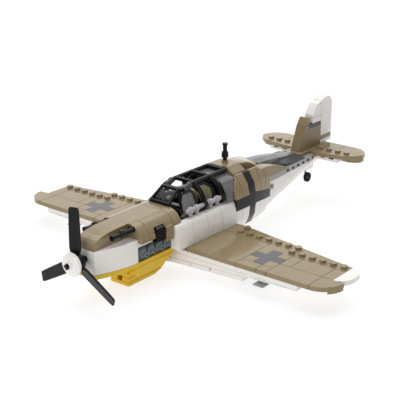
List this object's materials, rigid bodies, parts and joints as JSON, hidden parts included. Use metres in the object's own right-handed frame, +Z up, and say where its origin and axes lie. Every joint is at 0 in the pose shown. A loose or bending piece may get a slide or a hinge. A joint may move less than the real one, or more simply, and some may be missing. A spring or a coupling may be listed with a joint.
{
  "type": "propeller plane model",
  "caption": "Brick-built toy propeller plane in tan and white with a spinning propeller, a lifting canopy and folding landing gear.",
  "frame": {"origin": "centre of the bounding box in X and Y, at the height of the cooler's flat underside", "axes": "+X to the pilot's left (port), -Y towards the nose, +Z up"},
  "size_m": [0.2744, 0.301, 0.0796],
  "materials": {
    "tan": "smooth moulded plastic, dark tan",
    "white": "smooth moulded plastic, white",
    "yellow": "smooth moulded plastic, bright yellow",
    "black": "smooth moulded plastic, black",
    "dark": "smooth moulded plastic, dark bluish grey",
    "light": "smooth moulded plastic, light bluish grey",
    "olive": "smooth moulded plastic, dull sand green",
    "smoke": "transparent smoke-grey moulded plastic",
    "tyre": "soft matt black rubber"
  },
  "bodies": {
    "airframe": {"core_frame": "dark", "nose_block": "white", "nose_slope_port": "tan", "nose_slope_starboard": "tan", "cowl_top": "tan", "cowl_cheek_port": "tan", "cowl_cheek_starboard": "tan", "nose_guns": "black", "exhaust_stacks": "dark", "intake_filter": "black", "chin": "yellow", "oil_cooler": "yellow", "side_panels_port": "white", "side_panels_starboard": "white", "cockpit_tub": "dark", "seat": "olive", "headrest_plate": "dark", "headrest_disc": "olive", "instrument_panel": "black", "control_stick": "black", "sill_bar_port": "light", "sill_bar_starboard": "light", "windscreen_frame": "black", "windscreen_glass": "smoke", "rear_glass": "smoke", "roof": "tan", "mast": "black", "shell_upper_front": "tan", "shell_lower_front": "white", "shell_band": "black", "shell_upper_rear": "tan", "shell_lower_rear": "white", "boom": "white", "boom_top": "light", "spine_saddle": "dark", "tail_cheek_port": "tan", "tail_cheek_starboard": "tan", "spine": "light", "tailplane": "tan", "tailplane_under": "white", "fin_base": "tan", "fin_tile": "dark", "rudder": "white", "tail_strut": "white", "spar_plate": "white", "wing_skin_port": "tan", "wing_skin_starboard": "tan", "wing_cross_port": "dark", "wing_cross_starboard": "dark", "white_tip_port": "white", "white_tip_starboard": "white"},
    "propeller_group": {"propeller": "black", "spinner": "white", "propeller_axle": "black"},
    "canopy": {"canopy_frame": "black"},
    "gear_port": {"gear_leg_port": "white"},
    "gear_starboard": {"gear_leg_starboard": "white"},
    "wheel_port": {"gear_wheel_port": "tyre"},
    "wheel_starboard": {"gear_wheel_starboard": "tyre"},
    "tailwheel": {"tail_wheel": "tyre"}
  },
  "joints": [
    {"name": "propeller_spin", "type": "hinge", "parent": "airframe", "child": "propeller_group", "pos_m": [0, -0.14152, 0.0284], "axis": [0, -1, 0], "continuous": true},
    {"name": "canopy_hinge", "type": "hinge", "parent": "airframe", "child": "canopy", "pos_m": [0.01696, -0.02312, 0.04], "axis": [0, 1, 0], "range_deg": [0, 105]},
    {"name": "gear_hinge_port", "type": "hinge", "parent": "airframe", "child": "gear_port", "pos_m": [0.044, -0.04992, 0.0068], "axis": [0, 1, 0], "range_deg": [0, 85]},
    {"name": "gear_hinge_starboard", "type": "hinge", "parent": "airframe", "child": "gear_starboard", "pos_m": [-0.044, -0.04992, 0.0068], "axis": [0, -1, 0], "range_deg": [0, 85]},
    {"name": "wheel_spin_port", "type": "hinge", "parent": "gear_port", "child": "wheel_port", "pos_m": [0.0668, -0.04552, 0.01], "axis": [0, 0, 1], "continuous": true},
    {"name": "wheel_spin_starboard", "type": "hinge", "parent": "gear_starboard", "child": "wheel_starboard", "pos_m": [-0.0668, -0.04552, 0.01], "axis": [0, 0, 1], "continuous": true},
    {"name": "tail_wheel_spin", "type": "hinge", "parent": "airframe", "child": "tailwheel", "pos_m": [0, 0.12328, 0.0144], "axis": [1, 0, 0], "continuous": true}
  ]
}
